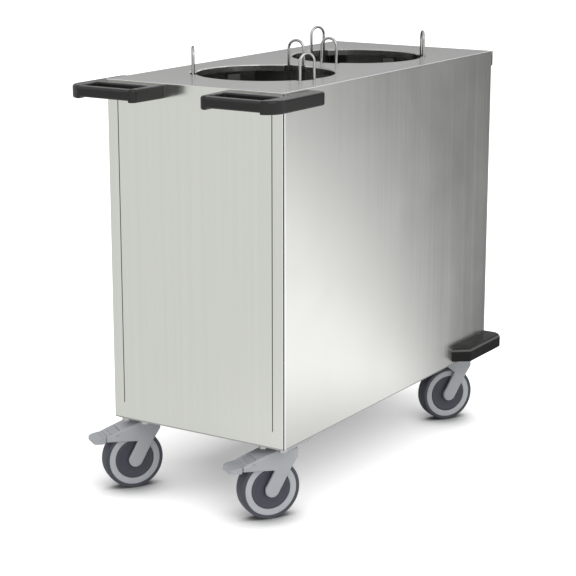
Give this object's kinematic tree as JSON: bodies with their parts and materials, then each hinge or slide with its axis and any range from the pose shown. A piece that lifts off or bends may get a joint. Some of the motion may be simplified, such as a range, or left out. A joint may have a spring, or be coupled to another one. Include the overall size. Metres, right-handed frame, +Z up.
{
  "type": "plate dispenser cart",
  "caption": "Wheeled cabinet with two sprung plate wells in its deck, wire plate guides, push handles, corner bumpers and swivel casters with brakes.",
  "frame": {"origin": "on the floor under the middle of the overall length and width, handles included", "axes": "+Z up, +Y from the handle end to the rear end, +X to the right seen from the handle end"},
  "size_m": [0.4932, 0.991, 0.9044],
  "materials": {
    "deck_steel": "fine brushed",
    "panel_steel": "satin, brushed upright",
    "bumper_plastic": "satin black",
    "guide_wire": "bright",
    "platform_steel": "satin",
    "tread_rubber": "matt dark blue grey",
    "rim_plastic": "light grey",
    "cap_plastic": "dark grey",
    "fork_plastic": "light grey, satin",
    "pedal_plastic": "grey, satin",
    "roller_plastic": "natural nylon",
    "spring_steel": "bright wire",
    "zinc_steel": "zinc plated",
    "frame_steel": "dull sheet"
  },
  "bodies": {
    "cart": {"base_frame": "frame_steel", "bumper_screws": "zinc_steel", "caster_bolts": "zinc_steel", "caster_plate_front_left": "zinc_steel", "caster_plate_front_right": "zinc_steel", "caster_plate_rear_left": "zinc_steel", "caster_plate_rear_right": "zinc_steel", "corner_posts": "frame_steel", "front_panel": "panel_steel", "guide_base_front": "frame_steel", "guide_base_rear": "frame_steel", "lift_rails": "frame_steel", "lift_springs_front": "spring_steel", "lift_springs_rear": "spring_steel", "push_handle_left": "bumper_plastic", "push_handle_right": "bumper_plastic", "rear_bumper_left": "bumper_plastic", "rear_bumper_right": "bumper_plastic", "rear_panel": "panel_steel", "side_panel_left": "panel_steel", "side_panel_right": "panel_steel", "spring_hanger": "frame_steel", "top_cover": "deck_steel", "tower_panel_front": "frame_steel", "tower_panel_rear": "frame_steel", "well_posts": "frame_steel"},
    "lift_front": {"platform_front": "platform_steel", "lift_carriage_front": "frame_steel", "lift_rollers_front": "roller_plastic"},
    "guide_front_1": {"plate_guide_front_1": "guide_wire"},
    "guide_front_2": {"plate_guide_front_2": "guide_wire"},
    "guide_front_3": {"plate_guide_front_3": "guide_wire"},
    "lift_rear": {"platform_rear": "platform_steel", "lift_carriage_rear": "frame_steel", "lift_rollers_rear": "roller_plastic"},
    "guide_rear_1": {"plate_guide_rear_1": "guide_wire"},
    "guide_rear_2": {"plate_guide_rear_2": "guide_wire"},
    "guide_rear_3": {"plate_guide_rear_3": "guide_wire"},
    "swivel_front_left": {"caster_fork_front_left": "fork_plastic", "wheel_axle_front_left": "zinc_steel"},
    "wheel_front_left": {"wheel_core_front_left": "rim_plastic", "wheel_tyre_front_left": "tread_rubber", "wheel_caps_front_left": "cap_plastic"},
    "pedal_front_left": {"brake_pedal_front_left": "pedal_plastic"},
    "swivel_front_right": {"caster_fork_front_right": "fork_plastic", "wheel_axle_front_right": "zinc_steel"},
    "wheel_front_right": {"wheel_core_front_right": "rim_plastic", "wheel_tyre_front_right": "tread_rubber", "wheel_caps_front_right": "cap_plastic"},
    "pedal_front_right": {"brake_pedal_front_right": "pedal_plastic"},
    "swivel_rear_left": {"caster_fork_rear_left": "fork_plastic", "wheel_axle_rear_left": "zinc_steel"},
    "wheel_rear_left": {"wheel_core_rear_left": "rim_plastic", "wheel_tyre_rear_left": "tread_rubber", "wheel_caps_rear_left": "cap_plastic"},
    "swivel_rear_right": {"caster_fork_rear_right": "fork_plastic", "wheel_axle_rear_right": "zinc_steel"},
    "wheel_rear_right": {"wheel_core_rear_right": "rim_plastic", "wheel_tyre_rear_right": "tread_rubber", "wheel_caps_rear_right": "cap_plastic"}
  },
  "joints": [
    {"name": "lift_front_slide", "type": "slide", "parent": "cart", "child": "lift_front", "axis": [0, 0, 1], "range_m": [-0.455, 0], "stiffness_N_per_m": 785, "springref_m": 0.08, "deforming": ["lift_springs_front"]},
    {"name": "guide_front_1_slide", "type": "slide", "parent": "cart", "child": "guide_front_1", "axis": [0.1219, -0.9925, 0], "range_m": [0, 0.045]},
    {"name": "guide_front_2_slide", "type": "slide", "parent": "cart", "child": "guide_front_2", "axis": [0.7986, 0.6018, 0], "range_m": [0, 0.045]},
    {"name": "guide_front_3_slide", "type": "slide", "parent": "cart", "child": "guide_front_3", "axis": [-0.9205, 0.3907, 0], "range_m": [0, 0.045]},
    {"name": "lift_rear_slide", "type": "slide", "parent": "cart", "child": "lift_rear", "axis": [0, 0, 1], "range_m": [-0.455, 0], "stiffness_N_per_m": 785, "springref_m": 0.08, "deforming": ["lift_springs_rear"]},
    {"name": "guide_rear_1_slide", "type": "slide", "parent": "cart", "child": "guide_rear_1", "axis": [-0.1219, 0.9925, 0], "range_m": [0, 0.045]},
    {"name": "guide_rear_2_slide", "type": "slide", "parent": "cart", "child": "guide_rear_2", "axis": [-0.7986, -0.6018, 0], "range_m": [0, 0.045]},
    {"name": "guide_rear_3_slide", "type": "slide", "parent": "cart", "child": "guide_rear_3", "axis": [0.9205, -0.3907, 0], "range_m": [0, 0.045]},
    {"name": "swivel_front_left", "type": "hinge", "parent": "cart", "child": "swivel_front_left", "pos_m": [-0.168, -0.3485, 0.1445], "axis": [0, 0, 1], "continuous": true},
    {"name": "wheel_front_left_spin", "type": "hinge", "parent": "swivel_front_left", "child": "wheel_front_left", "pos_m": [-0.18712, -0.37685, 0.0625], "axis": [0.829, -0.5592, 0], "continuous": true},
    {"name": "brake_front_left_press", "type": "hinge", "parent": "swivel_front_left", "child": "pedal_front_left", "pos_m": [-0.20938, -0.40985, 0.12], "axis": [0.829, -0.5592, 0], "range_deg": [0, 10]},
    {"name": "swivel_front_right", "type": "hinge", "parent": "cart", "child": "swivel_front_right", "pos_m": [0.168, -0.3485, 0.1445], "axis": [0, 0, 1], "continuous": true},
    {"name": "wheel_front_right_spin", "type": "hinge", "parent": "swivel_front_right", "child": "wheel_front_right", "pos_m": [0.14888, -0.37685, 0.0625], "axis": [0.829, -0.5592, 0], "continuous": true},
    {"name": "brake_front_right_press", "type": "hinge", "parent": "swivel_front_right", "child": "pedal_front_right", "pos_m": [0.12662, -0.40985, 0.12], "axis": [0.829, -0.5592, 0], "range_deg": [0, 10]},
    {"name": "swivel_rear_left", "type": "hinge", "parent": "cart", "child": "swivel_rear_left", "pos_m": [-0.168, 0.4065, 0.1445], "axis": [0, 0, 1], "continuous": true},
    {"name": "wheel_rear_left_spin", "type": "hinge", "parent": "swivel_rear_left", "child": "wheel_rear_left", "pos_m": [-0.18712, 0.37815, 0.0625], "axis": [0.829, -0.5592, 0], "continuous": true},
    {"name": "swivel_rear_right", "type": "hinge", "parent": "cart", "child": "swivel_rear_right", "pos_m": [0.168, 0.4065, 0.1445], "axis": [0, 0, 1], "continuous": true},
    {"name": "wheel_rear_right_spin", "type": "hinge", "parent": "swivel_rear_right", "child": "wheel_rear_right", "pos_m": [0.14888, 0.37815, 0.0625], "axis": [0.829, -0.5592, 0], "continuous": true}
  ]
}
